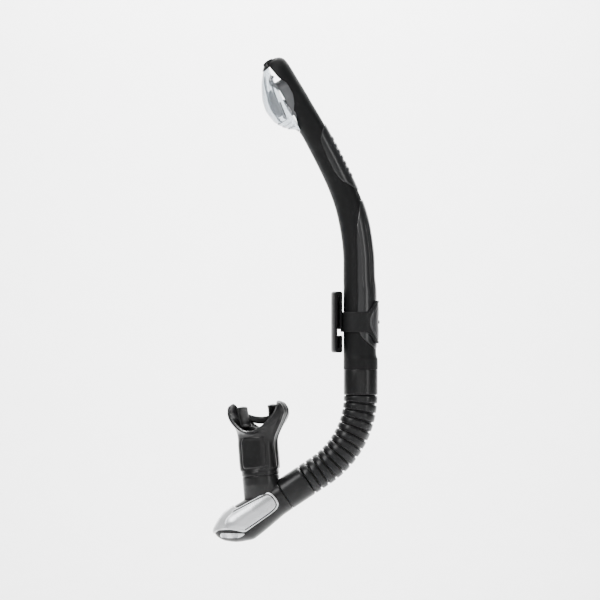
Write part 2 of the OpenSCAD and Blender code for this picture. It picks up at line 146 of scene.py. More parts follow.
def signed_power(x, p):
    return np.sign(x) * np.abs(x) ** p


def around(n):
    """n angles once round."""
    return np.linspace(0, 2 * math.pi, n + 1)[:-1]


def as_arrays(*values):
    return np.broadcast_arrays(*[np.asarray(v, float) for v in values])


# ---- meshes
def finish_mesh(obj, sharp, weld=True):
    """Welded points, consistent normals, smooth shading and sharp edges above the angle."""
    bm = bmesh.new()
    bm.from_mesh(obj.data)
    if weld:
        bmesh.ops.remove_doubles(bm, verts=bm.verts, dist=2e-6)
    bmesh.ops.recalc_face_normals(bm, faces=bm.faces)
    bm.to_mesh(obj.data)
    bm.free()
    shade_smooth(obj)
    obj.data.set_sharp_from_angle(angle=math.radians(sharp))


def shade_smooth(obj):
    for p in obj.data.polygons:
        p.use_smooth = True


def linked(name, mesh, materials=()):
    obj = bpy.data.objects.new(name, mesh)
    bpy.context.scene.collection.objects.link(obj)
    for mat in materials:
        mesh.materials.append(mat)
    return obj


def obj_from(name, verts, faces, mat, sharp=38):
    me = bpy.data.meshes.new(name)
    me.from_pydata((np.asarray(verts) * MM).tolist(), [], [list(map(int, f)) for f in faces])
    me.validate()
    obj = linked(name, me, [mat])
    finish_mesh(obj, sharp)
    return obj


def grid_faces(nu, nv, wrap=False, start=0):
    """Quads of a grid of nu rows and nv columns; wrap joins the last column to the first."""
    out = []
    for i in range(nu - 1):
        row, above = start + i * nv, start + (i + 1) * nv
        for j in range(nv if wrap else nv - 1):
            k = (j + 1) % nv
            out.append((row + j, row + k, above + k, above + j))
    return out


def tube(name, outer, inner, mat, wrap=False, **kw):
    """Closed skin from an outer and an inner grid of equal size."""
    nu, nv = outer.shape[:2]
    n = nu * nv
    verts = np.concatenate([outer.reshape(-1, 3), inner.reshape(-1, 3)])
    faces = grid_faces(nu, nv, wrap) + [tuple(reversed(f)) for f in grid_faces(nu, nv, wrap, n)]
    last = nv if wrap else nv - 1
    rim = [(i * nv + j, i * nv + (j + 1) % nv) for i in (0, nu - 1) for j in range(last)]
    if not wrap:
        rim += [(i * nv + j, (i + 1) * nv + j) for j in (0, nv - 1) for i in range(nu - 1)]
    faces += [(a, b, n + b, n + a) for a, b in rim]
    return obj_from(name, verts, faces, mat, **kw)


def solid(name, rings, mat, **kw):
    """Closed solid from rings; the end rings are filled."""
    nu, nv = rings.shape[:2]
    faces = grid_faces(nu, nv, True)
    faces.append(tuple(range(nv)))
    faces.append(tuple((nu - 1) * nv + j for j in reversed(range(nv))))
    return obj_from(name, rings.reshape(-1, 3), faces, mat, **kw)


def loop_faces(rows, cols):
    """Quads of a grid closed both ways."""
    return [tuple(v % (rows * cols) for v in face) for face in grid_faces(rows + 1, cols, True)]


def turned(name, profile, mat, centre=(0, 0, 0), x=(1, 0, 0), z=(0, 0, 1)):
    """Closed profile of (radius, height) turned about z through centre."""
    a = around(96)
    c, x, z = (np.array(v, float) for v in (centre, x, z))
    spokes = np.cos(a)[None, :, None] * x + np.sin(a)[None, :, None] * np.cross(z, x)
    p = np.array(profile, float)
    pts = c + p[:, None, :1] * spokes + p[:, None, 1:] * z
    return obj_from(name, pts.reshape(-1, 3), loop_faces(len(p), len(a)), mat)


def modify(obj, kind, **kw):
    m = obj.modifiers.new(kind.title(), kind)
    for k, v in kw.items():
        setattr(m, k, v)


def bake(obj):
    """Applies the object's modifiers to its mesh."""
    bpy.context.view_layer.update()
    graph = bpy.context.evaluated_depsgraph_get()
    mesh = bpy.data.meshes.new_from_object(obj.evaluated_get(graph), depsgraph=graph)
    obj.modifiers.clear()
    obj.data = mesh
    shade_smooth(obj)
    return obj


def merged(name, pieces, voxel, relax, mat):
    """One skin from overlapping closed pieces, its inner corners relaxed into fillets."""
    bm = bmesh.new()
    for piece in pieces:
        bake(piece)
        bm.from_mesh(piece.data)
        bpy.data.objects.remove(piece)
    me = bpy.data.meshes.new(name)
    bm.to_mesh(me)
    bm.free()
    obj = linked(name, me)
    modify(obj, "REMESH", mode="VOXEL", voxel_size=voxel * MM, use_smooth_shade=True)
    modify(obj, "SMOOTH", factor=0.5, iterations=relax)
    bake(obj)
    obj.data.materials.clear()
    obj.data.materials.append(mat)
    return obj


def place(obj, body, nodes=()):
    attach(obj, body)
    if nodes:
        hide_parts(*nodes)


# ---- materials
BUMP_MM = 0.02  # depth of the moulded grain


def node(tree, kind, values=()):
    """New shader node with the given inputs set."""
    made = tree.nodes.new("ShaderNode" + kind)
    for socket, value in dict(values).items():
        made.inputs[socket].default_value = value
    return made


def add_wear(tree, last, color, wear):
    """Paler colour along convex edges, mixed over the last colour socket."""
    link = tree.links
    geo = node(tree, "NewGeometry")
    edge = node(tree, "MapRange", {"From Min": 0.53, "From Max": 0.62})
    link.new(geo.outputs["Pointiness"], edge.inputs["Value"])
    amount = node(tree, "Math", {1: wear})
    amount.operation = "MULTIPLY"
    link.new(edge.outputs["Result"], amount.inputs[0])
    mix = node(tree, "Mix")
    mix.data_type = "RGBA"
    mix.inputs["B"].default_value = (*[min(1, c * 2.2 + 0.01) for c in color], 1)
    link.new(amount.outputs[0], mix.inputs["Factor"])
    link.new(last, mix.inputs["A"])
    return mix.outputs["Result"]


def material(name, color, rough, metallic=0.0, grain=0.0, grain_scale=900, vary=0.12,
             coat=0.0, sheen=0.0, wear=0.0, spec=0.5, transmission=0.0, ior=1.5, stretch=(1, 1, 1)):
    """Moulded surface: cloudy colour, grain in the roughness and bump, and worn edges."""
    m = bpy.data.materials.new(name)
    m.use_nodes = True
    tree = m.node_tree
    link = tree.links
    shader = tree.nodes["Principled BSDF"].inputs
    fixed = {"Metallic": metallic, "Coat Weight": coat, "Coat Roughness": 0.08, "Sheen Weight": sheen,
             "Specular IOR Level": spec, "Transmission Weight": transmission, "IOR": ior}
    for socket, value in fixed.items():
        shader[socket].default_value = value
    coords = node(tree, "TexCoord")
    mapping = node(tree, "Mapping", {"Scale": stretch})
    link.new(coords.outputs["Object"], mapping.inputs["Vector"])

    def noise(scale, detail, roughness):
        t = node(tree, "TexNoise", {"Scale": scale, "Detail": detail, "Roughness": roughness})
        link.new(mapping.outputs["Vector"], t.inputs["Vector"])
        return t.outputs["Fac"]

    broad = noise(38, 4, 0.55)
    fine = noise(grain_scale, 6, 0.65)
    ramp = node(tree, "ValToRGB")
    low, high = ramp.color_ramp.elements
    low.position, high.position = 0.35, 0.68
    low.color = (*[c * (1 - vary) for c in color], 1)
    high.color = (*[min(1, c * (1 + vary) + 0.002 * vary) for c in color], 1)
    link.new(broad, ramp.inputs["Fac"])
    last = ramp.outputs["Color"]
    if wear:
        last = add_wear(tree, last, color, wear)
    link.new(last, shader["Base Color"])
    spread = 0.5 * vary + grain * 0.3
    lowest, highest = max(0.02, rough * (1 - spread)), min(1, rough * (1 + spread))
    gloss = node(tree, "MapRange", {"From Min": 0.3, "From Max": 0.7, "To Min": lowest, "To Max": highest})
    link.new(fine if grain else broad, gloss.inputs["Value"])
    link.new(gloss.outputs["Result"], shader["Roughness"])
    if grain:
        bump = node(tree, "Bump", {"Strength": grain, "Distance": BUMP_MM * MM})
        link.new(fine, bump.inputs["Height"])
        link.new(bump.outputs["Normal"], shader["Normal"])
    return m


M = {
    "shell": material("shell_black", (0.005, 0.0051, 0.0055), 0.5, grain=0.5, grain_scale=4200, wear=0.2,
                      spec=0.2),
    "spine": material("spine_gloss", (0.011, 0.0113, 0.0125), 0.3, grain=0.12, grain_scale=5200, coat=0.22,
                      wear=0.2, spec=0.4),
    "rib": material("spine_rib", (0.03, 0.03, 0.032), 0.4, grain=0.3, grain_scale=4800, wear=0.3),
    "carrier": material("carrier_grey", (0.115, 0.12, 0.125), 0.38, grain=0.3, grain_scale=4200, wear=0.15),
    "float": material("float_white", (0.62, 0.65, 0.68), 0.24, grain=0.1, grain_scale=4200, vary=0.05,
                      coat=0.3),
    "steel": material("pin_steel", (0.62, 0.63, 0.65), 0.25, metallic=1, grain=0.2, grain_scale=4200,
                      stretch=(1, 0.05, 1)),
    "seal": material("seal_rubber", (0.02, 0.02, 0.021), 0.55, grain=0.5, grain_scale=3600),
    "keeper": material("keeper_rubber", (0.006, 0.0061, 0.0066), 0.52, grain=0.6, grain_scale=4400,
                       sheen=0.02, wear=0.2, spec=0.25),
    "insert": material("insert_grey", (0.024, 0.0245, 0.027), 0.32, grain=0.15, grain_scale=5200, coat=0.2),
    "clip": material("clip_black", (0.0035, 0.0035, 0.004), 0.36, grain=0.1, grain_scale=5200, wear=0.3,
                     spec=0.4, ior=1.22),
    "hose": material("hose_rubber", (0.0045, 0.0046, 0.005), 0.33, grain=0.3, grain_scale=3800, sheen=0.01,
                     coat=0.1, spec=0.3),
    "mouth": material("mouth_rubber", (0.0045, 0.0045, 0.0049), 0.33, grain=0.3, grain_scale=3600,
                      sheen=0.015, coat=0.12, spec=0.32),
    "chrome": material("cover_bright", (0.88, 0.89, 0.905), 0.2, metallic=0.45, vary=0.03, coat=0.4),
    "silver": material("panel_silver", (0.74, 0.75, 0.77), 0.28, metallic=0.75, grain=0.1,
                       grain_scale=1200, vary=0.05, stretch=(1, 1, 6)),
    "disc": material("valve_silicone", (0.1, 0.1, 0.105), 0.4, grain=0.3, grain_scale=3600),
    "vent": material("vent_grey", (0.5, 0.51, 0.53), 0.35, metallic=0.7, grain=0.3, grain_scale=2600),
    # black used only as painted shade: the disc in the breathing port and the groove round the cover's panels
    "dark": material("clip_dark", (0.004, 0.004, 0.0045), 0.5, grain=0.2, grain_scale=3600),
    "clear": material("clear_dome", (0.70, 0.735, 0.765), 0.05, transmission=0.9, ior=1.42, vary=0.02),
}

# ---- barrel and hood
BARREL = [  # x, z, lean, half width, half depth
    (19.1, -41.8, 0, 15.05, 15.05), (19.1, -41.6, 0, 15.2, 15.2), (19.1, -38, 0, 15.2, 15.2),
    (19.1, -33, 0, 15.1, 15.1), (18.4, -27, 0, 14.4, 14.2), (18.3, -10.2, 0, 14.3, 14.1),
    (18.25, 7.2, 0, 14.3, 14.1), (18.2, 24, 0, 14.2, 14.0), (17.4, 40, 1, 13.6, 13.4),
    (17.2, 54.6, 3, 13.4, 13.2), (15.8, 70.4, 8, 13.1, 13.0), (13.2, 86.2, 12.5, 12.9, 12.7),
    (9.0, 102.1, 18, 12.3, 12.3), (3.0, 117.9, 23.5, 11.7, 12.0), (-4.4, 133.8, 26.5, 11.3, 11.8),
    (-12.4, 149.6, 28.5, 11.2, 11.7),
]
HOOD = [  # distance up the head, half width, half depth, half angle of the skin (180 = closed)
    (0, 11.2, 11.8, 180), (7, 11.2, 12.2, 178), (10, 11.2, 12.5, 152), (18, 11.1, 13.2, 140),
    (26, 11.0, 13.9, 126), (34, 11.0, 14.4, 100), (43, 10.9, 14.7, 86), (51, 10.7, 14.7, 86),
    (58.6, 10.6, 14.0, 106), (65, 10.3, 12.6, 114), (70.5, 9.4, 10.2, 122), (74.2, 6.6, 7.0, 128),
    (76, 2.4, 2.6, 128),
]
ROWS = [(x + OX, z, lean, hw, hd, 180) for x, z, lean, hw, hd in BARREL]
ROWS += [(HEAD[0] - s * math.sin(LEAN), HEAD[2] + s * math.cos(LEAN), 30, hw, hd, reach)
         for s, hw, hd, reach in HOOD]
ROWS = np.array(ROWS)
# row numbers, with two more in the long straight stretch
ROW_I = np.array([0, 1, 2, 3, 4, 4.33, 4.67] + list(range(5, len(ROWS) - 2)), float)
LAST_ROW = ROW_I[-1]


def barrel_at(k, theta, off=0.0):
    """Points on the barrel at row numbers k and angles theta (radians, 0 = back), off mm outside."""
    k, theta, off = as_arrays(k, theta, off)
    row = pchip(ROW_I, ROWS, k.ravel())
    x, z, lean, hw, hd = row[:, 0], row[:, 1], np.radians(row[:, 2]), row[:, 3], row[:, 4]
    theta, off = theta.ravel(), off.ravel()
    r = (hw + off) * np.cos(theta)
    y = (hd + off) * np.sin(theta)
    return np.stack([x + r * np.cos(lean), y, z + r * np.sin(lean)], 1).reshape(k.shape + (3,))


def make_barrel():
    """One flowing skin from the foot to the tip of the hood, open where the dome sits."""
    k = np.concatenate([np.linspace(0, 13, 105), np.linspace(13, LAST_ROW, 190)[1:]])[:, None]
    u = np.linspace(-1, 1, 128)[None, :]
    reach = np.radians(pchip(ROW_I, ROWS[:, 5], k.ravel()))[:, None]
    theta = np.where(k < 14.95, math.pi - 1e-3, reach) * u
    lip = 0.35 * bell(np.abs(u), 1, 0.02) * (k > 15)  # rolled edge round the opening
    taper = np.clip((LAST_ROW - k) / 1.2, 0.15, 1)
    wall = 1.8 - 0.5 * smooth(14, 16, k)
    outer = barrel_at(k, theta, lip * taper)
    inner = barrel_at(k, theta, -wall * taper)
    place(tube("barrel_skin", outer, inner, M["shell"]), "barrel", ["barrel_tube"])


def make_stub():
    """Stub below the barrel's skin, with a retaining groove, that the hose turns on."""
    profile = [(11.0, -60), (12.1, -60), (12.5, -59.4), (12.5, -56), (12.2, -55.6), (12.2, -54.4),
               (12.5, -54), (12.5, -41.98), (14.6, -41.95), (14.7, -41.6), (14.4, -39.0), (11.0, -39)]
    place(turned("barrel_stub", profile, M["shell"], (AXIS_X, 0, 0)), "barrel")


make_barrel()
make_stub()


# ---- strips down the back
def strip(name, edge, rows, cols, groove=None):
    """Raised strip within edge degrees of the back at each row, bevelled all round."""
    reach = np.radians(pchip([p[0] for p in edge], [p[1] for p in edge], rows))[:, None]
    rows = rows[:, None]
    v = np.linspace(-1, 1, cols)[None, :]
    theta = reach * v
    from_side = reach * 12.5 * (1 - np.abs(v))
    from_end = np.minimum(rows - rows[0], rows[-1] - rows) * 14.0
    height = 0.85 * np.minimum(smooth(-0.25, 0.9, from_side), smooth(-0.2, 0.9, from_end))
    if groove is not None:
        height = height + groove(np.degrees(theta), rows)
    top = barrel_at(rows, theta, np.maximum(height, 0.0) + 0.03)
    under = barrel_at(rows, theta, -0.35)
    return tube(name, top, under, M["spine"], sharp=30)


def lower_profile(deg, k):
    """Groove beside the border, a plateau, a long shallow valley and the centre ridge."""
    d = np.abs(deg)
    live = smooth(4.9, 5.8, k) * smooth(9.7, 8.6, k)
    border = 0.34 * bell(d, 74, 3.2)
    valley = 0.42 * smooth(49, 42, d) * smooth(22, 31, d)
    return -(border + valley + 0.20 * bell(d, 50, 2.0)) * live


UPPER_EDGE = [(10.6, 15), (10.72, 30), (11, 52), (11.4, 80), (12, 90), (12.6, 91), (13, 88), (13.5, 82),
              (14, 52), (14.4, 12)]
LOWER_EDGE = [(4.1, 20), (4.2, 62), (4.32, 88), (4.6, 100), (5, 98), (6, 96), (7, 95), (8, 92),
              (8.5, 86), (9, 76), (9.6, 56), (10.1, 34)]
place(strip("upper_strip", UPPER_EDGE, np.linspace(10.6, 14.4, 190), 121), "barrel", ["spine_upper"])
place(strip("lower_strip", LOWER_EDGE, np.linspace(4.1, 10.1, 300), 181, lower_profile), "barrel",
      ["spine_lower"])


def make_rib(i):
    """Rounded rib across the upper strip."""
    first = 11.35 + 0.32 * i
    k = np.linspace(first - 0.02, first + 0.2, 15)[:, None]
    u = np.linspace(-1, 1, 61)[None, :]
    swell = np.sin(np.pi * (k - k[0]) / (k[-1] - k[0])) ** 0.6
    theta = np.radians(35 * (0.9 + 0.1 * swell)) * u
    top = barrel_at(k, theta, 0.8 + 0.68 * swell * (1 - u**8))
    rib = tube("spine_rib_%d" % i, top, barrel_at(k, theta, 0.55), M["rib"])
    place(rib, "barrel", ["spine_ribs"] if i == 0 else [])


for number in range(7):
    make_rib(number)


# ---- head: dome, carrier, float
def head(s, t, y=0.0):
    """Head frame (s up the head, t to its back) to world."""
    s, t, y = as_arrays(s, t, y)
    x = HEAD[0] - s * math.sin(LEAN) + t * math.cos(LEAN)
    z = HEAD[2] + s * math.cos(LEAN) + t * math.sin(LEAN)
    return np.stack([x, y, z], -1)


def hung(s, t, y=0.0):
    """As head(), for pieces drawn shut and then hung open about the pin."""
    s, t = np.asarray(s, float) - PIN_S, np.asarray(t, float) - PIN_T
    c, n = math.cos(FLOAT_OPEN), math.sin(FLOAT_OPEN)
    return head(PIN_S - t * n + s * c, PIN_T + t * c + s * n, y)


def port_frame(at):
    """Centre, x and z for a shape turned about the breathing port's axis."""
    return at(32, 0, 0), at(33, 0, 0) - at(32, 0, 0), at(0, 1, 0) - at(0, 0, 0)


DOME = np.array([  # distance up the head, t of the edge, bulge out from it, half depth
    (9.2, -10.6, 1.6, 4.5), (11.6, -9.6, 3.6, 8.4), (15, -9.2, 8.8, 11.4), (21, -9, 14, 13.2),
    (28, -9, 17.6, 14.2), (38.5, -9, 18.9, 14.8), (47, -8.8, 17.6, 14.9), (54, -8.3, 15.2, 14.6),
    (62, -7.6, 11.6, 13.4), (68, -6.8, 8, 11.4), (72.2, -6.2, 5, 8.8), (74.6, -5.8, 2.4, 5.4),
])
DOME_A = np.linspace(-math.pi / 2, math.pi / 2, 96)[None, :]


def dome_at(s, a, off=0.0):
    """Points on the dome at distances s up the head and angles a from its crest, off mm outside."""
    s = np.asarray(s, float)
    edge, bulge, half = pchip(DOME[:, 0], DOME[:, 1:], s).T[:, :, None]
    return head(s[:, None], edge - (bulge + off) * np.cos(a), (half + off) * np.sin(a))


def make_dome():
    """Clear shell with three shallow steps across its foot, a slot under each."""
    s = np.linspace(9.2, 74.6, 110)
    steps = sum(0.55 * bell(s, 15.4 + 4 * i, 0.5) - 0.8 * bell(s, 16.6 + 4 * i, 0.45) for i in range(3))
    relief = steps[:, None] * smooth(-0.1, 0.45, np.cos(DOME_A))
    rim = 0.15 * bell(np.abs(DOME_A), math.pi / 2, 0.05)
    outer, inner = dome_at(s, DOME_A, relief + rim), dome_at(s, DOME_A, relief - 1.3)
    dome = tube("dome_glass", outer, inner, M["clear"], sharp=50)
    place(dome, "barrel", ["dome_cap"])


def make_dome_ridge(side, sign):
    """Raised guide ridge along the inside of the dome."""
    s = np.linspace(24, 66, 60)
    edge, bulge, half = pchip(DOME[:, 0], DOME[:, 1:], s).T
    angle = 0.62 + 0.16 * np.sin((s - 24) / 42 * math.pi)
    corners = []
    for off, turn in ((-1.35, -0.045), (-1.35, 0.045), (-2.3, 0.03), (-2.3, -0.03)):
        a = angle + turn
        corners.append(head(s, edge - (bulge + off) * np.cos(a), sign * (half + off) * np.sin(a)))
    place(solid("dome_ridge_" + side, np.stack(corners, 1), M["clear"]), "barrel")


make_dome()
for side, sign in SIDES:
    make_dome_ridge(side, sign)


def stadium(r, half, n=32):
    """Outline in (y, s): two half circles and the straight sides between."""
    a = np.linspace(0, math.pi, n)
    top = np.stack([r * np.cos(a), half + r * np.sin(a)], 1)
    return np.concatenate([top, -top])


def make_tray():
    """Carrier between hood and dome: stadium outlines of (radius, half straight, t)."""
    layers = [(11.6, 9, 1.4), (12, 9, 1.1), (12, 9, -7.7), (11.6, 9, -8.15), (10.9, 9, -8.2),
              (10.5, 9, -7.8), (9.0, 9, -7.75), (8.8, 9, -7.3), (8.3, 9, -7.2), (4, 6, -7.2),
              (0.5, 1, -7.2)]
    rings = []
    for r, half, t in layers:
        outline = stadium(r, half)
        rings.append(head(36.0 + outline[:, 1], t, outline[:, 0]))
    place(solid("carrier_tray", np.array(rings), M["carrier"]), "barrel", ["valve_carrier"])


def make_port():
    """Raised seat that the float's pad closes on, and a black disc inside it as painted shade in the port."""
    profile = [(6.5, -8.2), (6.5, -9.4), (6.75, -9.7), (7.9, -9.7), (8.2, -9.4), (8.2, -8.2)]
    place(turned("valve_seat", profile, M["steel"], *port_frame(head)), "barrel", ["valve_ring"])
    # black disc at the tray: painted shade where the port opens into the barrel
    profile = [(0.1, -7.1), (6.3, -7.1), (6.3, -7.26), (0.1, -7.26)]
    place(turned("port_dark", profile, M["dark"], *port_frame(head)), "barrel")


make_tray()
make_port()


def bar(name, pts, half_w, thick, mat, at=head, mid_y=0.0, n=24):
    """Flat bar along (s, t) points; its cross section is a rounded rectangle across y."""
    p = np.array(pts, float)
    arc = np.concatenate([[0], np.cumsum(np.linalg.norm(np.diff(p, axis=0), axis=1))])
    line = pchip(arc, p, np.linspace(0, arc[-1], n))
    tangent = np.gradient(line, axis=0)
    tangent /= np.linalg.norm(tangent, axis=1)[:, None]
    normal = np.stack([-tangent[:, 1], tangent[:, 0]], 1)
    a = around(40)
    y = mid_y + half_w * signed_power(np.cos(a), 0.22)
    off = signed_power(np.sin(a), 0.35) * thick / 2
    s, t = (line[:, i, None] + normal[:, i, None] * off for i in range(2))
    return solid(name, at(s, t, y), mat, sharp=40)


def make_ear(side, sign):
    """Ear of the carrier that holds one end of the float's pin."""
    points = [(50, -6.8), (54, -9.2), (PIN_S, PIN_T), (61, -10.0), (63.5, -7)]
    place(bar("carrier_ear_" + side, points, 1.0, 3.6, M["carrier"], mid_y=sign * 8.6), "barrel")


def make_rail(side, sign):
    """Long side rail of the float's lever, with its knuckle on the pin."""
    points = [(25.6, -12.1), (36, -12.15), (48, -12.1), (55, -11.6), (57.6, PIN_T)]
    place(bar("lever_rail_" + side, points, 0.75, 1.5, M["float"], hung, sign * 5.3), "float")
    points = [(PIN_S - 2.5, PIN_T), (PIN_S, PIN_T), (PIN_S + 2.5, PIN_T)]
    place(bar("lever_knuckle_" + side, points, 1.6, 4.6, M["float"], hung, sign * 5.2), "float")


def make_pod():
    """Hollow float with a rounded back, drawn as outline points (s, t) of its middle."""
    outline = [(27.6, -13.2), (27.3, -15.2), (28.6, -18.0), (32, -20.0), (38, -20.5), (44, -20.3),
               (49, -18.9), (52, -16.6), (52.8, -14.4), (52.6, -13.2)]
    s, t = (np.array(outline)[:, i, None] for i in range(2))
    across = np.linspace(-1, 1, 41)[None, :]
    crown = (1 - np.abs(across) ** 4) ** 0.5
    front = -13.05
    depth = front - t
    outer = hung(40 + (s - 40) * (0.9 + 0.1 * crown), front - depth * (0.25 + 0.75 * crown), 8.4 * across)
    inner = hung(40 + (s - 40) * 0.9, -13.0, 8.0 * across)
    pod = tube("float_pod", outer, inner, M["float"])
    modify(pod, "SUBSURF", levels=2, render_levels=2)
    place(bake(pod), "float", ["float_block"])


def make_pad():
    """Soft pad that closes on the seat."""
    profile = [(0.2, -11.2), (7.4, -11.2), (7.9, -10.9), (8.0, -10.2), (7.7, -9.8), (6.2, -9.8),
               (5.8, -10.2), (0.2, -10.2)]
    place(turned("float_pad", profile, M["seal"], *port_frame(hung)), "float", ["float_seal"])


for side, sign in SIDES:
    make_ear(side, sign)
for side, sign in SIDES:
    make_rail(side, sign)
plate = bar("lever_plate", [(26.2, -12.05), (36, -12.1), (50, -12.1)], 5.2, 1.0, M["float"], hung)
place(plate, "float", ["float_arm"])
make_pod()
make_pad()


def make_latch():
    """Strap over the top of the dome, the cap that grips its tip, and the block between them."""
    strap = bar("latch_strap", [(76.0, 0.2), (76.4, -3.0), (76.2, -6.2), (74.9, -9.6)], 3.9, 1.6, M["shell"])
    place(strap, "barrel", ["dome_latch"])
    s = np.linspace(70.9, 74.6, 14)
    outer, inner = dome_at(s, DOME_A, 0.75), dome_at(s, DOME_A, 0.1)
    place(tube("latch_hood", outer, inner, M["shell"], sharp=50), "barrel")
    block = bar("latch_block", [(73.4, 1.6), (73.6, -2.4), (73.3, -6.2), (72.7, -9.4)], 5.6, 4.4, M["shell"])
    place(block, "barrel")


make_latch()


# ---- keeper, rivet, strap clip
KEEPER_R = 16.9
OVAL_Y, OVAL_Z = 14.3, 16.6  # half axes of the opening at the back
WING = np.array([  # distance behind the barrel's axis, half height of the band
    (-20, 8.9), (0, 8.9), (5.5, 8.95), (7.6, 9.5), (9.4, 10.7), (11.2, 13.0), (12.6, 15.6),
    (14.2, 18.1), (15.6, 18.9), (17.2, 18.9),
])
BAND_A = np.linspace(-math.pi, math.pi, 361)[:-1]
BAND_HALF = pchip(WING[:, 0], WING[:, 1], KEEPER_R * np.cos(BAND_A))
BAND_Y = KEEPER_R * np.sin(BAND_A)
AT_OVAL = np.where((np.abs(BAND_Y) < OVAL_Y) & (np.cos(BAND_A) > 0.12))[0]
OVAL_HALF = OVAL_Z * np.sqrt(np.clip(1 - (BAND_Y / OVAL_Y) ** 2, 0, 1))


def keeper_point(theta, z, r):
    """Round the barrel at the keeper: theta 0 = back."""
    theta, z, r = as_arrays(theta, z, r)
    return np.stack([BAND_X + r * np.cos(theta), r * np.sin(theta), z], -1)


def keeper_sheet(name, low, high, columns):
    """Part of the band between two heights at each angle, with rounded edges."""
    low, high = low[columns][None, :], high[columns][None, :]
    theta = BAND_A[columns][None, :]
    z = low + (high - low) * np.linspace(0, 1, 60)[:, None]
    from_edge = np.minimum(z - low, high - z)
    outer = keeper_point(theta, z, 17.0 - 0.5 * (1 - smooth(-0.35, 0.8, from_edge)))
    inner = keeper_point(theta, z, 15.45) + np.array([0.25, 0, 0])
    return tube(name, outer, inner, M["keeper"])


def make_band():
    """Band round the front, and a wing above and below the oval opening at the back."""
    front = np.concatenate([np.arange(AT_OVAL[-1] + 1, len(BAND_A)), np.arange(AT_OVAL[0])])
    place(keeper_sheet("keeper_front", -BAND_HALF, BAND_HALF, front), "keeper", ["keeper_band"])
    back = np.arange(AT_OVAL[0] - 1, AT_OVAL[-1] + 2)
    oval = np.zeros(len(BAND_A))
    oval[AT_OVAL] = OVAL_HALF[AT_OVAL]
    place(keeper_sheet("keeper_wing_top", oval, BAND_HALF, back), "keeper")
    place(keeper_sheet("keeper_wing_foot", -BAND_HALF, -oval, back), "keeper")


def make_lens():
    """Lens-shaped insert with a shallow dish and a raised bead."""
    y = np.linspace(-1, 1, 121)[None, :] * 14.15
    z = np.linspace(-1, 1, 81)[:, None] * 16.4 * np.sqrt(np.clip(1 - (y / OVAL_Y) ** 2, 0.001, 1))
    d = np.sqrt((y / OVAL_Y) ** 2 + (z / 16.5) ** 2)
    r = KEEPER_R - 0.55 * smooth(0.9, 1.0, d) - 0.3 * bell(d, 0.86, 0.03) - 0.3 * smooth(0.45, 0.1, d)
    theta = np.arcsin(np.clip(y / KEEPER_R, -1, 1))
    inner = keeper_point(theta, z, 15.6) + np.array([0.2, 0, 0])
    lens = tube("keeper_lens", keeper_point(theta, z, r), inner, M["insert"])
    place(lens, "keeper", ["keeper_insert"])


def make_rivet():
    profile = [(0.05, 15.4), (1.5, 15.4), (1.55, 16.9), (1.4, 17.3), (1.0, 17.5), (0.75, 17.42),
               (0.6, 17.1), (0.05, 17.05)]
    rivet = turned("rivet", profile, M["clip"], (BAND_X, 0, 0), (0, 1, 0), (1, 0, 0))
    place(rivet, "keeper", ["keeper_rivet"])


def make_stud():
    """Headed pin on the band that the clip turns on."""
    profile = [(0.05, 5.2), (2.35, 5.2), (2.35, 3.9), (2.95, 3.7), (2.95, 0.9), (2.6, 0.45),
               (1.2, 0.45), (1.0, 0.75), (0.05, 0.75)]
    stud = turned("clip_stud", profile, M["keeper"], (0, 0, 0), (0, 1, 0), (1, 0, 0))
    place(stud, "keeper", ["clip_pin"])


# clip in (radius from the barrel axis, z): a rounded C with a tongue
CLIP = [
    (18.0, 24.9), (18.3, 26.1), (19.1, 26.8), (20.4, 27.0), (22.8, 27.0), (24.1, 26.7), (25.0, 25.8),
    (25.3, 24.4), (25.3, -24.4), (25.0, -25.8), (24.1, -26.7), (22.8, -27.0), (20.4, -27.0),
    (19.1, -26.8), (18.3, -26.1), (18.0, -24.9), (18.0, -12.9), (18.3, -12.1), (18.9, -11.8),
    (20.0, -11.9), (20.6, -12.6), (20.6, -21.8), (21.0, -22.7), (21.9, -23.0), (22.8, -22.7),
    (23.2, -21.8), (23.2, 21.8), (22.8, 22.7), (21.9, 23.0), (21.0, 22.7), (20.6, 21.8),
    (20.6, -5.6), (20.2, -6.3), (19.4, -6.4), (18.5, -6.1), (18.0, -5.4),
]


def make_clip():
    """Outline swept round the barrel axis, its end faces pulled in to round their edges."""
    half_angle, nip, r = math.radians(33), 0.45, 25
    o = np.array(CLIP, float)
    tangent = np.roll(o, -1, 0) - np.roll(o, 1, 0)
    tangent /= np.linalg.norm(tangent, axis=1)[:, None]
    signed_area = 0.5 * np.sum(o[:, 0] * np.roll(o[:, 1], -1) - np.roll(o[:, 0], -1) * o[:, 1])
    outward = np.stack([tangent[:, 1], -tangent[:, 0]], 1) * np.sign(signed_area)
    lead = half_angle - np.array([0, 0.12, 0.35, 0.7]) * nip / r
    reach = half_angle - nip / 22
    rings = []
    for a in np.concatenate([-lead, np.linspace(-reach, reach, 73), lead[::-1]]):
        from_end = (half_angle - abs(a)) * r / nip
        pull = nip * (1 - math.sqrt(max(0.0, 1 - max(0.0, 1 - from_end) ** 2))) * 0.9
        q = o - outward * pull
        rings.append(np.stack([BAND_X - q[:, 0] * math.cos(a), q[:, 0] * math.sin(a), q[:, 1]], 1))
    place(solid("clip_body", np.array(rings), M["clip"], sharp=33), "clip", ["strap_clip"])


make_band()
make_lens()
make_rivet()
make_stud()
make_clip()

# ---- corrugated hose
RING_PITCH, RINGS = 7.15, 13
RIDGES_END = RINGS * RING_PITCH
BEND_LEN = BEND_R * BEND
HOSE_END = BEND_LEN + TAIL - 4.2
RIDGE = [  # distance from the ridge's middle, radius over its crown
    (-3.42, -1.75), (-3.25, -1.85), (-3.02, -1.45), (-2.8, -0.5), (-2.6, -0.16), (-2.2, -0.03),
    (-1, 0.05), (0, 0.07), (1, 0.05), (2.2, -0.03), (2.6, -0.16), (2.8, -0.5), (3.02, -1.45),
    (3.25, -1.85), (3.42, -1.75),
]


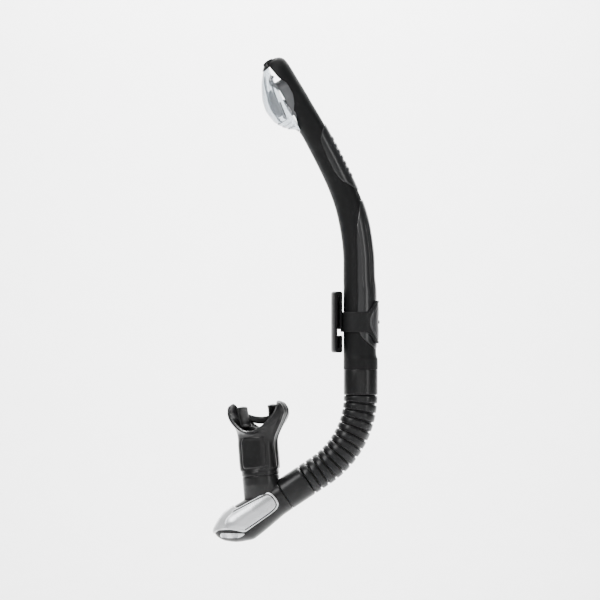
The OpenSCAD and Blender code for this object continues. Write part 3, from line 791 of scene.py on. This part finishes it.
def hose_mid(d):
    """x, z and turn of the hose's middle line at distance d past the start of its bend."""
    d = np.asarray(d, float)
    a = np.clip(d, 0, BEND_LEN) / BEND_R
    past = np.maximum(d - BEND_LEN, 0)
    x = BEND_X + BEND_R * np.cos(a) - past * math.sin(BEND)
    z = BEND_Z - BEND_R * np.sin(a) - past * math.cos(BEND) + np.maximum(-d, 0)
    return x, z, a


def hose_outside():
    """Outer profile (distance, radius): upper cuff, ridges, lower cuff."""
    path = [(-22.22, 14.75), (-22.15, 14.95), (-21.9, 15.02), (-12, 15.05), (-1.2, 15.05),
            (-0.5, 14.95), (-0.15, 14.5), (0.1, 13.4)]
    for i in range(RINGS):
        middle, crown = (i + 0.5) * RING_PITCH, 14.9 - 0.04 * i
        path += [(middle + along, crown + rise) for along, rise in RIDGE]
    path += [(RIDGES_END + 0.15, 13.4), (RIDGES_END + 0.4, 14.0), (RIDGES_END + 0.9, 14.28),
             (RIDGES_END + 3, 14.33), (HOSE_END - 1.2, 14.33), (HOSE_END - 0.35, 14.2), (HOSE_END, 13.8)]
    return path


def hose_inside():
    """Inner profile back from the lower cuff's socket to the upper one's."""
    path = [(HOSE_END, 12.62), (HOSE_END - 10, 12.6), (HOSE_END - 19.8, 12.6), (HOSE_END - 20.4, 11.35)]
    path += [(d, 11.35) for d in np.linspace(HOSE_END - 24, 0, 40)]
    return path + [(-3.7, 11.35), (-3.9, 12.6), (-12, 12.62), (-22.2, 12.62)]


def make_hose():
    """Both profiles carried along the middle line, with a fine mould line along each side."""
    outside, inside = hose_outside(), hose_inside()
    profile = np.array(outside + inside)
    x, z, turn = (v[:, None] for v in hose_mid(profile[:, 0]))
    a = around(112)
    mould_line = 0.08 * (bell(a, math.pi / 2, 0.03) + bell(a, 3 * math.pi / 2, 0.03))
    is_outside = (np.arange(len(profile)) < len(outside))[:, None]
    r = profile[:, 1:] + is_outside * mould_line
    pts = np.stack([x + r * np.cos(a) * np.cos(turn), r * np.sin(a), z - r * np.cos(a) * np.sin(turn)], -1)
    hose = obj_from("hose_skin", pts.reshape(-1, 3), loop_faces(len(profile), len(a)), M["hose"], sharp=50)
    x, z, turn = hose_mid(HOSE_END - 20.2)
    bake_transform(hose)
    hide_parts("flex_hose")


make_hose()

# ---- purge chamber
LOWER = np.array([  # distance towards the nose, lower edge, upper edge, half depth
    (-4, -14.3, 14.3, 14.3), (4, -14.4, 14.6, 14.5), (15, -15.6, 15.4, 15.5), (28, -17.1, 15.8, 16.4),
    (38.5, -17.8, 16.2, 16.4), (47, -14.9, 15.8, 15.4), (54, -11.4, 14.0, 13.2), (59, -7.4, 11.6, 10.6),
    (62.2, -4.2, 9.8, 8.0), (64.2, -1.0, 8.4, 5.4), (65.2, 1.4, 7.0, 3.0), (65.6, 3.6, 5.0, 0.7),
])
SNAP = 0.52  # furthest a grid point is moved, in steps of the grid
CHORD = np.concatenate([[0], np.cumsum(np.hypot(np.diff(LOWER[:, 0]), np.diff(LOWER[:, 3])))])


def chamber_skin_at(u, theta):
    """Chamber skin in its own frame: u = 0..1 towards the nose, theta 0 = crest."""
    u, theta = as_arrays(u, theta)
    row = pchip(CHORD, LOWER, u.ravel() * CHORD[-1]).reshape(u.shape + (4,))
    middle, semi = (row[..., 1] + row[..., 2]) / 2, (row[..., 2] - row[..., 1]) / 2
    return np.stack([middle + semi * np.cos(theta), row[..., 3] * np.sin(theta), row[..., 0]], -1)


def side_view(u, theta):
    """(height, distance towards the nose) of points on the skin."""
    return chamber_skin_at(u, theta)[..., [0, 2]]


def low_world(local):
    return LOW + local[..., 0:1] * LOW_X + local[..., 2:3] * LOW_Z + local[..., 1:2] * ACROSS


def closed_curve(points, n=12):
    """Smooth closed curve through given points, its slopes limited near close points."""
    p = np.array(points, float)
    t = np.linspace(0, 1, n, endpoint=False)[:, None]
    out = []
    for i in range(len(p)):
        before, a, b, after = p[i - 1], p[i], p[(i + 1) % len(p)], p[(i + 2) % len(p)]
        longest = 1.2 * np.linalg.norm(b - a)
        slopes = []
        for slope in (0.42 * (b - before), 0.42 * (after - a)):
            slopes.append(slope * min(1, longest / max(np.linalg.norm(slope), 1e-6)))
        out.append(hermite(t, a, b, *slopes))
    return np.concatenate(out)


def inside_distance(curve, pts):
    """Signed distance, positive inside the curve."""
    flat = pts.reshape(-1, 2)
    best = np.full(len(flat), 1e9)
    inside = np.zeros(len(flat), bool)
    for a, b in zip(curve, np.roll(curve, -1, 0)):
        ab, ap = b - a, flat - a
        t = np.clip(ap @ ab / max(ab @ ab, 1e-12), 0, 1)
        best = np.minimum(best, np.linalg.norm(ap - t[:, None] * ab, axis=1))
        spans = (a[1] > flat[:, 1]) != (b[1] > flat[:, 1])
        with np.errstate(divide="ignore", invalid="ignore"):
            crossing = a[0] + ap[:, 1] * ab[0] / ab[1]
        inside ^= spans & (flat[:, 0] < crossing)
    return np.where(inside, best, -best).reshape(pts.shape[:-1])


def drawn_to_line(u, theta, steps, line, limit):
    """Moves grid points near the line's zero onto it, up to the limit towards the nose."""
    du, dt = steps
    here = side_view(u, theta)
    value = line(here)
    slope_u = (line(side_view(u + du * 0.2, theta)) - value) / 0.2
    slope_t = (line(side_view(u, theta + dt * 0.2)) - value) / 0.2
    slope = np.maximum(slope_u**2 + slope_t**2, 1e-9)
    move_u, move_t = -value * slope_u / slope, -value * slope_t / slope
    near = (np.abs(move_u) < SNAP) & (np.abs(move_t) < SNAP) & (here[..., 1] < limit)
    return np.where(near, u + move_u * du, u), np.where(near, theta + move_t * dt, theta)


def outward_normals(local, theta):
    normal = np.cross(np.gradient(local, axis=1), np.gradient(local, axis=0))
    normal /= np.maximum(np.linalg.norm(normal, axis=2, keepdims=True), 1e-9)
    rough_out = np.stack([np.cos(theta), np.sin(theta), 0 * theta + 0.2], -1)
    normal *= np.sign(np.sum(normal * rough_out, axis=2, keepdims=True))
    normal[-1] = (0.0, 0, 1)
    return normal


def skirt_faces(faces, below):
    """Quads from the faces' open edges down to their copies, numbered below higher."""
    edges = [(f[k], f[(k + 1) % 4]) for f in faces for k in range(4)]
    uses = {}
    for edge in edges:
        key = tuple(sorted(edge))
        uses[key] = uses.get(key, 0) + 1
    return [(b, a, a + below, b + below) for a, b in edges if uses[tuple(sorted((a, b)))] == 1]


def patch(name, u, theta, field, lines, height, slot_of, mats, floor=-0.3):
    """Raised patch on the chamber where the field is positive, with a skirt down to floor."""
    steps = u[1] - u[0], theta[1] - theta[0]
    rows, cols = len(u), len(theta)
    u, theta = np.meshgrid(u, theta, indexing="ij")
    for line, limit in lines:
        u, theta = drawn_to_line(u, theta, steps, line, limit)
    u = np.clip(u, 0, 1)
    view = side_view(u, theta)
    local = chamber_skin_at(u, theta)
    normal = outward_normals(local, theta)
    top = low_world(local + normal * height(view)[..., None]).reshape(-1, 3)
    base = low_world(local + normal * floor).reshape(-1, 3)
    value = field(view).ravel()
    faces = [f for f in grid_faces(rows, cols) if min(value[list(f)]) > -0.02]
    slots = slot_of(view.reshape(-1, 2)[np.array(faces)].mean(axis=1))
    skirt = skirt_faces(faces, len(top))
    used, numbered = np.unique(np.array(faces + skirt), return_inverse=True)
    verts = np.concatenate([top, base])[used]
    me = bpy.data.meshes.new(name)
    me.from_pydata((verts * MM).tolist(), [], numbered.reshape(-1, 4).tolist())
    obj = linked(name, me, mats)
    me.polygons.foreach_set("material_index", [int(s) for s in slots] + [0] * len(skirt))
    finish_mesh(obj, 50, weld=False)
    return obj


# outlines on the chamber in (height, distance towards the nose)
COVER = closed_curve([
    (-3.5, 4.2), (2, 3.6), (7, 4.6), (9.8, 7.2), (10.7, 13), (11.2, 20), (11.8, 27), (12.4, 34),
    (13.4, 37.4), (18.5, 38.8), (22, 50), (16, 68), (5.9, 70), (5.9, 62.4), (3.7, 57.8), (1.0, 53.3),
    (-2.5, 49.0), (-6.2, 45.4), (-8.2, 42), (-8.1, 35), (-7.9, 28), (-7.7, 21), (-7.4, 14), (-6.4, 8),
])
PANEL = closed_curve([
    (-2.6, 7.0), (2, 6.3), (5.8, 7.3), (7.9, 9.8), (8.6, 15), (9.2, 20), (9.8, 27), (10.5, 34),
    (11.2, 42), (9.6, 50), (5, 54.5), (1.2, 52), (-1.6, 48.6), (-4.3, 45.2), (-5.9, 41), (-5.9, 34),
    (-5.8, 28), (-5.6, 21), (-5.3, 15), (-4.6, 10),
])
GRILLE = closed_curve([
    (2.4, 60.7), (1.5, 62.5), (-0.6, 62.6), (-2.9, 59.8), (-5.0, 57.0), (-7.2, 53.6), (-9.0, 50.4),
    (-9.8, 47.4), (-9.6, 44.0), (-8.4, 45.0), (-5.8, 48.8), (-3.0, 52.8), (-0.3, 56.8),
], 8)
WINDOWS = ((3.0, -1.9), (12.4, -2.1))  # along the grille from its nose end, and across it
WINDOW_HALF = (2.1, 1.5)


def sd_cover(x):
    return inside_distance(COVER, x)


def sd_panel(x):
    return inside_distance(PANEL, x)


def sd_groove(x):
    """Positive inside the far edge of the groove round the panel, which is painted black as shade."""
    return sd_panel(x) + 1.0


def sd_grille(x):
    return inside_distance(GRILLE, x)


def sd_windows(x):
    """Positive inside the recessed windows of the grille."""
    rel = x - np.array([2.35, 60.8])
    d = np.array([-0.548, -0.836])
    along, across = rel @ d, rel @ np.array([-d[1], d[0]])
    length, width = WINDOW_HALF
    boxes = [np.minimum(length - np.abs(along - a), width - np.abs(across - b)) for a, b in WINDOWS]
    return np.maximum(*boxes)


def cover_height(x):
    """Rounded edge, a groove round the panel, and a soft ridge where it meets the nose."""
    d, e = sd_cover(x), sd_panel(x)
    grooved = smooth(43.5, 40.0, x[..., 1])
    h = 0.1 + 1.3 * smooth(-0.05, 0.55, d)
    h = h - 0.9 * bell(e, -0.5, 0.5) * grooved
    h = h - 0.28 * smooth(0, 0.7, e) * (0.4 + 0.6 * grooved)
    return h + 0.12 * bell(e, -0.6, 1.6) * (1 - grooved) * smooth(0.4, 2.0, d)


def cover_slot(x):
    e = sd_panel(x)
    # slot 2, the groove round the panel, takes the black of painted shade
    return np.where(e > 0, 1, np.where((e > -1.0) & (x[:, 1] < 41.5), 2, 0))


def grille_height(x):
    return 0.05 + 0.85 * smooth(0, 0.5, sd_grille(x)) - 0.6 * smooth(0, 0.35, sd_windows(x))


def grille_slot(x):
    return np.where(sd_windows(x) > 0, 1, 0)


def make_cover():
    """Bright cover over both sides of the nose, with the silver panels and their grooves painted black as
    shade.
    """
    lines = [(sd_cover, math.inf), (sd_panel, math.inf), (sd_groove, 42)]
    cover = patch("cover_shell", np.linspace(0.10, 1, 215), np.radians(np.linspace(-142, 142, 351)),
                  sd_cover, lines, cover_height, cover_slot, [M["chrome"], M["silver"], M["dark"]])
    place(cover, "lower_unit", ["purge_cover", "panel_near", "panel_far"])


def make_grille():
    """Bars of the vent under the nose."""
    lines = [(sd_grille, math.inf), (sd_windows, math.inf)]
    grille = patch("vent_bars", np.linspace(0.6, 1, 110), np.radians(np.linspace(60, 300, 301)),
                   sd_grille, lines, grille_height, grille_slot, [M["chrome"], M["vent"]], floor=-1.2)
    place(grille, "lower_unit", ["vent_grille"])


def make_chamber():
    """Hull, neck post and hose stub merged into one skin."""
    hull = solid("hull", low_world(chamber_skin_at(np.linspace(0, 1, 90)[:, None], around(120))), M["mouth"])
    a = around(96)[:, None]
    rings = []
    for h, rx, ry in [(-27, 15.8, 9.6), (-24, 16.3, 10.4), (-18, 16.3, 12.6), (-12, 16.3, 15),
                      (-8, 16.3, 16.2), (-3, 16.3, 16.3), (-0.4, 16.3, 16.3), (-0.05, 16.1, 16.1)]:
        rings.append(NECK + NECK_UP * h + np.cos(a) * rx * NECK_X + np.sin(a) * ry * ACROSS)
    post = solid("post", np.array(rings), M["mouth"])
    cuff_space = turned("cuff_space", [(0.05, -40), (14.75, -40), (14.75, -3.9), (0.05, -3.9)], M["mouth"],
                        LOW, LOW_X, LOW_Z)
    modify(post, "BOOLEAN", operation="DIFFERENCE", object=cuff_space, solver="EXACT")
    bake(post)
    bpy.data.objects.remove(cuff_space)
    stub = turned("stub", [(0.05, -24), (12.1, -24), (12.4, -23.6), (12.4, 2), (0.05, 2)], M["mouth"],
                  LOW, LOW_X, LOW_Z)
    place(merged("chamber_skin", [hull, post, stub], 0.55, 7, M["mouth"]), "lower_unit", ["purge_chamber"])


def make_neck_stub():
    """Sleeve that joins the chamber's neck to the mouthpiece."""
    profile = [(11.3, -1.5), (15.5, -1.5), (15.7, -0.9), (15.7, 0.9), (15.2, 1.0), (13.1, 1.0),
               (13.1, 13.6), (12.8, 13.95), (11.6, 13.95), (11.3, 13.6)]
    place(turned("neck_stub", profile, M["mouth"], NECK, NECK_X, NECK_UP), "lower_unit")


make_cover()
make_grille()
make_chamber()
make_neck_stub()

# ---- mouthpiece
MOUTH = np.array([  # height, half width, half depth, rise of the lobes, squareness (2 = ellipse)
    (0.1, 16.3, 16.0, 0, 2), (0.5, 16.55, 16.25, 0, 2), (3.2, 16.5, 16.2, 0, 2),
    (4.4, 16.6, 15.6, 0, 2.2), (6, 17.2, 14.8, 0, 2.6), (14, 17.3, 14.2, 0, 2.8), (24, 17.2, 14, 0, 2.8),
    (31, 17.8, 14, 0.4, 2.5), (37.5, 20.8, 14.6, 2.8, 2.2), (43, 25.4, 16.4, 6, 2),
    (47.4, 29.6, 18.6, 9.4, 2), (50.6, 30.6, 19.9, 12.1, 2), (51.4, 30.3, 19.9, 12.5, 2),
])
MOUTH_W = NECK_X * math.cos(YAW) - ACROSS * math.sin(YAW)  # from lobe to lobe
MOUTH_V = np.cross(NECK_UP, MOUTH_W)
MOUTH_WALL = 2.3
SOCKET_R = 13.25  # inside the mouthpiece's foot


def mouth(w, v, h):
    """Mouth frame to world; the lobes lean towards the near side and curl in at their tips."""
    w, v, h = as_arrays(w, v, h)
    curl = 1 - np.where(w > 0, 0.24, 0.1) * np.clip((h - 50) / 14, 0, 1.1) ** 2
    w = w * curl + 3.2 * smooth(27, 46, h)
    return NECK + w[..., None] * MOUTH_W + v[..., None] * MOUTH_V + h[..., None] * NECK_UP


def mouth_ring(row, off, lift, a):
    """Ring of a MOUTH row at angles a, off mm outside and lift mm higher, in the mouth frame."""
    h, half_w, half_v, rise, square = row
    w = (half_w + off) * signed_power(np.cos(a), 2 / square)
    v = (half_v + off) * signed_power(np.sin(a), 2 / square)
    return w, v, h + lift + rise * np.cos(2 * a)


def rounded_box(x, y, half_x, half_y, r):
    """Signed distance, negative inside."""
    qx, qy = np.abs(x) - half_x + r, np.abs(y) - half_y + r
    return np.minimum(np.maximum(qx, qy), 0) + np.hypot(np.maximum(qx, 0), np.maximum(qy, 0)) - r


def from_angle(a, centre):
    return np.mod(a - centre + math.pi, 2 * math.pi) - math.pi


def mouth_relief(row, a):
    """Panels with a fine groove round them, a seam, twin ridges up the lobes, and knobs at the collar."""
    w, v, h = mouth_ring(row, 0, 0, a)
    d = rounded_box(w + 2.0 * np.sign(v), h - 20.4, 11.4, 13.6, 3.4)
    relief = np.where(np.abs(v) > 6, 0.55 * smooth(0.3, -0.9, d) - 0.35 * bell(d, 0.5, 0.5), 0)
    relief = relief - 0.5 * bell(h, 4.3, 0.45)
    for lobe in (0.0, math.pi):
        for start in (-0.17, 0.17):
            centre = lobe + start * (0.4 + 0.9 * smooth(8, 48, row[0]))
            relief = relief + 0.75 * smooth(5, 9, row[0]) * bell(from_angle(a, centre) * row[1], 0, 0.85)
        relief = relief + 0.9 * bell(from_angle(a, lobe) * 17, 0, 1.7) * bell(row[0], 5.2, 1.5)
    return relief


def mouth_inside(row, a):
    """Round socket at the foot that opens into the flange."""
    if row[0] >= 24:
        return mouth_ring(row, -MOUTH_WALL, 1.3 * smooth(37, 46, row[0]), a)
    open_up = smooth(16, 24, row[0])
    inside = row.copy()
    inside[1:3] = SOCKET_R + (row[1:3] - MOUTH_WALL - SOCKET_R) * open_up
    inside[4] = 2 + (row[4] - 2) * open_up
    return mouth_ring(inside, 0, 0, a)


def make_funnel():
    heights = np.concatenate([np.linspace(0.1, 5, 22), np.linspace(5.4, 36, 90), np.linspace(36.4, 51.4, 52)])
    a = around(240)
    rows = pchip(MOUTH[:, 0], MOUTH, heights)
    outer = np.array([mouth(*mouth_ring(row, mouth_relief(row, a), 0, a)) for row in rows])
    inner = np.array([mouth(*mouth_inside(row, a)) for row in rows])
    return tube("funnel", outer, inner, M["mouth"], wrap=True)


def make_bite_tab(side, sign):
    """Soft block standing on the inside of a lobe, with a waist and a lip."""
    a = around(96)
    rings = []
    for h in np.linspace(43, 62.0, 24):
        f = (h - 43) / 19
        nip = math.sqrt(max(0.02, 1 - max(0.0, (f - 0.93) / 0.07) ** 2))
        half_w = (1.55 + 0.75 * smooth(0.72, 0.95, f) + 1.0 * smooth(0.18, 0.0, f)) * nip
        half_v = 9.0 * (1 - 0.10 * smooth(0.6, 1, f)) * nip
        middle = sign * (13.8 + (h - 44) * math.tan(math.radians(12)))
        w = middle + half_w * signed_power(np.cos(a), 0.6)
        rings.append(mouth(w, half_v * signed_power(np.sin(a), 0.5), h))
    return solid("bite_tab_" + side, np.array(rings), M["mouth"])


def make_bridge():
    """Band across the far side, rising from its middle to the lobes."""
    a = around(96)
    rings = []
    for b in np.radians(np.linspace(14, 166, 72)):
        up = np.cos(b - 0.2) ** 2
        thick = 1.25 * signed_power(np.cos(a), 0.7)
        h = 48.3 + 9.5 * up + (3.3 + 0.2 * up) * signed_power(np.sin(a), 0.7)
        rings.append(mouth((23.0 + thick) * math.cos(b), (16.0 + thick) * math.sin(b), h))
    return solid("bridge", np.array(rings), M["mouth"])


def make_mouthpiece():
    """Funnel, bite tabs and bridge as one skin, flattened a little at its nearest side."""
    pieces = [make_funnel()]
    pieces += [make_bite_tab(side, sign) for side, sign in SIDES]
    pieces.append(make_bridge())
    lips = merged("mouth_skin", pieces, 0.5, 4, M["mouth"])
    flat_from = -20 * MM
    for vert in lips.data.vertices:
        if vert.co.y < flat_from:
            vert.co.y = flat_from + (vert.co.y - flat_from) * 0.5
    place(lips, "lower_unit", ["mouthpiece"])


make_mouthpiece()

# ---- CAD pieces that stay
for piece, key in (("purge_spider", "insert"), ("purge_valve", "disc"), ("float_pin", "steel")):
    for obj in bpy.data.objects:
        if obj.name.startswith(piece):
            obj.data.materials.clear()
            obj.data.materials.append(M[key])

# ---- floor, light, camera
LO, HI = (np.array(corner) for corner in cad_box)
MID = (LO + HI) / 2
FLOOR_Z = LO[2] - 0.06
BACK_Y = HI[1] + 0.9
CURVE_R = 0.5  # between the floor and the backdrop


def make_sweep():
    """Pale floor that curves up into a backdrop."""
    profile = [(-14, FLOOR_Z), (BACK_Y - CURVE_R, FLOOR_Z)]
    for t in np.linspace(0.1, math.pi / 2, 14):
        profile.append((BACK_Y - CURVE_R + CURVE_R * math.sin(t), FLOOR_Z + CURVE_R - CURVE_R * math.cos(t)))
    profile.append((BACK_Y, FLOOR_Z + 2.2))
    half = 12.0
    verts = [(MID[0] + x, y, z) for y, z in profile for x in (-half, half)]
    faces = [(2 * i, 2 * i + 1, 2 * i + 3, 2 * i + 2) for i in range(len(profile) - 1)]
    me = bpy.data.meshes.new("sweep")
    me.from_pydata(verts, [], faces)
    pale = material("floor_pale", (0.86, 0.86, 0.86), 0.8, grain=0.05, grain_scale=60, vary=0.01, spec=0.2)
    sweep = linked("sweep", me, [pale])
    shade_smooth(sweep)


def area(name, location, target, size_x, size_y, power):
    """Soft rectangular light facing the target."""
    light = bpy.data.lights.new(name, "AREA")
    light.shape = "RECTANGLE"
    light.size, light.size_y, light.energy = size_x, size_y, power
    obj = bpy.data.objects.new(name, light)
    bpy.context.scene.collection.objects.link(obj)
    obj.location = location
    obj.rotation_euler = (Vector(target) - Vector(location)).to_track_quat("-Z", "Y").to_euler()


make_sweep()
area("key", (MID[0] - 0.9, LO[1] - 0.9, MID[2] + 0.75), MID, 0.55, 0.9, 13)
area("side", (MID[0] + 0.95, LO[1] - 0.75, MID[2] + 0.15), MID, 0.22, 1.3, 4.5)
area("top", (MID[0] - 0.1, MID[1] - 0.15, HI[2] + 0.9), MID, 0.8, 0.6, 6)
area("fill", (MID[0] + 0.1, LO[1] - 1.6, MID[2] - 0.1), MID, 1.6, 1.2, 7)
area("back", (MID[0], BACK_Y - 0.55, MID[2] + 0.62), (MID[0], BACK_Y, MID[2] - 0.02), 0.7, 0.25, 38)

world = bpy.data.worlds.new("studio")
world.use_nodes = True
background = world.node_tree.nodes["Background"].inputs
background["Color"].default_value = (1, 1, 1, 1)
background["Strength"].default_value = 0.24
bpy.context.scene.world = world

camera = bpy.data.cameras.new("view")
camera.type = "ORTHO"
camera.ortho_scale = 0.528
view = bpy.data.objects.new("view", camera)
bpy.context.scene.collection.objects.link(view)
view.location = (-0.0307, LO[1] - 2.2, 0.0194)
view.rotation_euler = (math.radians(90), 0, 0)
bpy.context.scene.camera = view
